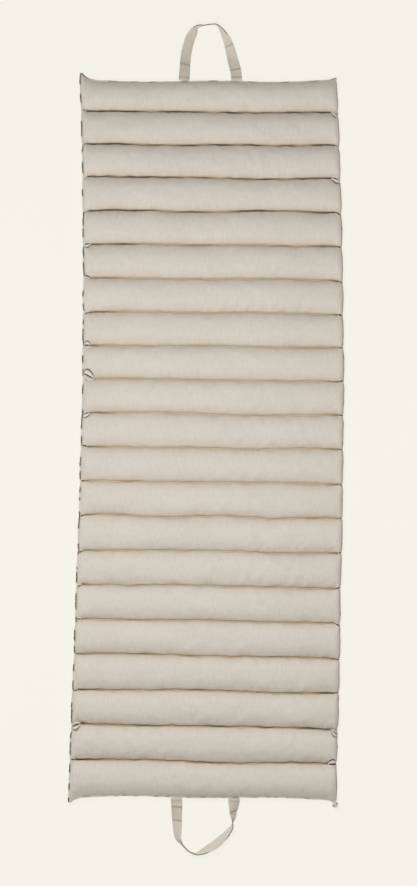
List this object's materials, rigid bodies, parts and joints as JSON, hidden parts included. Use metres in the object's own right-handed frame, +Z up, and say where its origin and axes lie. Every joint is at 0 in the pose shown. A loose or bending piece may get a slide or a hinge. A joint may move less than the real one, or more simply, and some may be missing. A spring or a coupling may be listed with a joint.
{
  "type": "futon mattress",
  "caption": "Flat roll-up futon mattress sewn into a row of stuffed cross channels, with a cloth strap handle in the middle of each end.",
  "frame": {"origin": "on the floor under the middle of the mattress", "axes": "+Y towards the head end, along the length; +X across the width; +Z up"},
  "size_m": [0.65, 2.084, 0.051],
  "materials": {
    "cover_cloth": "natural linen and cotton cloth, matt",
    "filling": "loose kapok or cotton fibre",
    "thread": "cotton sewing thread",
    "strap": "folded and stitched strap of the cover's cloth"
  },
  "bodies": {
    "channel_01": {"cover_01": "cover_cloth", "filling_01": "filling", "end_seam_thread_foot": "thread"},
    "channel_02": {"cover_02": "cover_cloth", "filling_02": "filling", "seam_thread_02": "thread"},
    "channel_03": {"cover_03": "cover_cloth", "filling_03": "filling"},
    "channel_04": {"cover_04": "cover_cloth", "filling_04": "filling", "seam_thread_04": "thread"},
    "channel_05": {"cover_05": "cover_cloth", "filling_05": "filling"},
    "channel_06": {"cover_06": "cover_cloth", "filling_06": "filling", "seam_thread_06": "thread"},
    "channel_07": {"cover_07": "cover_cloth", "filling_07": "filling"},
    "channel_08": {"cover_08": "cover_cloth", "filling_08": "filling", "seam_thread_08": "thread"},
    "channel_09": {"cover_09": "cover_cloth", "filling_09": "filling"},
    "channel_10": {"cover_10": "cover_cloth", "filling_10": "filling", "seam_thread_10": "thread"},
    "channel_11": {"cover_11": "cover_cloth", "filling_11": "filling"},
    "channel_12": {"cover_12": "cover_cloth", "filling_12": "filling", "seam_thread_12": "thread"},
    "channel_13": {"cover_13": "cover_cloth", "filling_13": "filling"},
    "channel_14": {"cover_14": "cover_cloth", "filling_14": "filling", "seam_thread_14": "thread"},
    "channel_15": {"cover_15": "cover_cloth", "filling_15": "filling"},
    "channel_16": {"cover_16": "cover_cloth", "filling_16": "filling", "seam_thread_16": "thread"},
    "channel_17": {"cover_17": "cover_cloth", "filling_17": "filling"},
    "channel_18": {"cover_18": "cover_cloth", "filling_18": "filling", "seam_thread_18": "thread"},
    "channel_19": {"cover_19": "cover_cloth", "filling_19": "filling"},
    "channel_20": {"cover_20": "cover_cloth", "filling_20": "filling", "seam_thread_20": "thread"},
    "channel_21": {"cover_21": "cover_cloth", "filling_21": "filling", "end_seam_thread_head": "thread"},
    "head_strap": {"handle_head": "strap", "handle_tacks_head": "thread"},
    "foot_strap": {"handle_foot": "strap", "handle_tacks_foot": "thread"}
  },
  "joints": [
    {"name": "roll_4_foot_stretch", "type": "hinge", "parent": "channel_01", "child": "channel_02", "pos_m": [0, -0.81429, 0.024], "axis": [1, 0, 0], "range_deg": [0, 23.98]},
    {"name": "seam_bend_02_03", "type": "hinge", "parent": "channel_02", "child": "channel_03", "pos_m": [0, -0.72857, 0.024], "axis": [1, 0, 0], "range_deg": [0, 24.42]},
    {"name": "seam_bend_03_04", "type": "hinge", "parent": "channel_03", "child": "channel_04", "pos_m": [0, -0.64286, 0.024], "axis": [1, 0, 0], "range_deg": [0, 24.89]},
    {"name": "seam_bend_04_05", "type": "hinge", "parent": "channel_04", "child": "channel_05", "pos_m": [0, -0.55714, 0.024], "axis": [1, 0, 0], "range_deg": [0, 25.38]},
    {"name": "seam_bend_05_06", "type": "hinge", "parent": "channel_05", "child": "channel_06", "pos_m": [0, -0.47143, 0.024], "axis": [1, 0, 0], "range_deg": [0, 25.91]},
    {"name": "roll_3_lower_stretch", "type": "hinge", "parent": "channel_06", "child": "channel_07", "pos_m": [0, -0.38571, 0.024], "axis": [1, 0, 0], "range_deg": [0, 26.47]},
    {"name": "seam_bend_07_08", "type": "hinge", "parent": "channel_07", "child": "channel_08", "pos_m": [0, -0.3, 0.024], "axis": [1, 0, 0], "range_deg": [0, 27.07]},
    {"name": "seam_bend_08_09", "type": "hinge", "parent": "channel_08", "child": "channel_09", "pos_m": [0, -0.21429, 0.024], "axis": [1, 0, 0], "range_deg": [0, 27.71]},
    {"name": "seam_bend_09_10", "type": "hinge", "parent": "channel_09", "child": "channel_10", "pos_m": [0, -0.12857, 0.024], "axis": [1, 0, 0], "range_deg": [0, 28.39]},
    {"name": "seam_bend_10_11", "type": "hinge", "parent": "channel_10", "child": "channel_11", "pos_m": [0, -0.04286, 0.024], "axis": [1, 0, 0], "range_deg": [0, 29.13]},
    {"name": "roll_2_upper_stretch", "type": "hinge", "parent": "channel_11", "child": "channel_12", "pos_m": [0, 0.04286, 0.024], "axis": [1, 0, 0], "range_deg": [0, 29.93]},
    {"name": "seam_bend_12_13", "type": "hinge", "parent": "channel_12", "child": "channel_13", "pos_m": [0, 0.12857, 0.024], "axis": [1, 0, 0], "range_deg": [0, 30.8]},
    {"name": "seam_bend_13_14", "type": "hinge", "parent": "channel_13", "child": "channel_14", "pos_m": [0, 0.21429, 0.024], "axis": [1, 0, 0], "range_deg": [0, 31.75]},
    {"name": "seam_bend_14_15", "type": "hinge", "parent": "channel_14", "child": "channel_15", "pos_m": [0, 0.3, 0.024], "axis": [1, 0, 0], "range_deg": [0, 32.8]},
    {"name": "seam_bend_15_16", "type": "hinge", "parent": "channel_15", "child": "channel_16", "pos_m": [0, 0.38571, 0.024], "axis": [1, 0, 0], "range_deg": [0, 33.96]},
    {"name": "roll_1_head_stretch", "type": "hinge", "parent": "channel_16", "child": "channel_17", "pos_m": [0, 0.47143, 0.024], "axis": [1, 0, 0], "range_deg": [0, 35.24]},
    {"name": "seam_bend_17_18", "type": "hinge", "parent": "channel_17", "child": "channel_18", "pos_m": [0, 0.55714, 0.024], "axis": [1, 0, 0], "range_deg": [0, 36.69]},
    {"name": "seam_bend_18_19", "type": "hinge", "parent": "channel_18", "child": "channel_19", "pos_m": [0, 0.64286, 0.024], "axis": [1, 0, 0], "range_deg": [0, 38.33]},
    {"name": "seam_bend_19_20", "type": "hinge", "parent": "channel_19", "child": "channel_20", "pos_m": [0, 0.72857, 0.024], "axis": [1, 0, 0], "range_deg": [0, 40.21]},
    {"name": "seam_bend_20_21", "type": "hinge", "parent": "channel_20", "child": "channel_21", "pos_m": [0, 0.81429, 0.024], "axis": [1, 0, 0], "range_deg": [0, 42.41]},
    {"name": "head_handle_tuck", "type": "hinge", "parent": "channel_21", "child": "head_strap", "pos_m": [0, 0.9, 0.024], "axis": [1, 0, 0], "range_deg": [0, 90]},
    {"name": "foot_handle_swing", "type": "hinge", "parent": "channel_01", "child": "foot_strap", "pos_m": [0, -0.9, 0.024], "axis": [1, 0, 0], "range_deg": [-90, 0], "deforming": ["handle_foot"]}
  ],
  "couplings": [
    {"joint": "seam_bend_02_03", "follows": "roll_4_foot_stretch", "ratio": 1.0184},
    {"joint": "seam_bend_03_04", "follows": "roll_4_foot_stretch", "ratio": 1.0378},
    {"joint": "seam_bend_04_05", "follows": "roll_4_foot_stretch", "ratio": 1.0584},
    {"joint": "seam_bend_05_06", "follows": "roll_4_foot_stretch", "ratio": 1.0803},
    {"joint": "seam_bend_07_08", "follows": "roll_3_lower_stretch", "ratio": 1.0225},
    {"joint": "seam_bend_08_09", "follows": "roll_3_lower_stretch", "ratio": 1.0467},
    {"joint": "seam_bend_09_10", "follows": "roll_3_lower_stretch", "ratio": 1.0726},
    {"joint": "seam_bend_10_11", "follows": "roll_3_lower_stretch", "ratio": 1.1005},
    {"joint": "seam_bend_12_13", "follows": "roll_2_upper_stretch", "ratio": 1.0291},
    {"joint": "seam_bend_13_14", "follows": "roll_2_upper_stretch", "ratio": 1.0609},
    {"joint": "seam_bend_14_15", "follows": "roll_2_upper_stretch", "ratio": 1.0958},
    {"joint": "seam_bend_15_16", "follows": "roll_2_upper_stretch", "ratio": 1.1345},
    {"joint": "seam_bend_17_18", "follows": "roll_1_head_stretch", "ratio": 1.0411},
    {"joint": "seam_bend_18_19", "follows": "roll_1_head_stretch", "ratio": 1.0876},
    {"joint": "seam_bend_19_20", "follows": "roll_1_head_stretch", "ratio": 1.1411},
    {"joint": "seam_bend_20_21", "follows": "roll_1_head_stretch", "ratio": 1.2033},
    {"joint": "head_handle_tuck", "follows": "roll_1_head_stretch", "ratio": 2.5539}
  ]
}
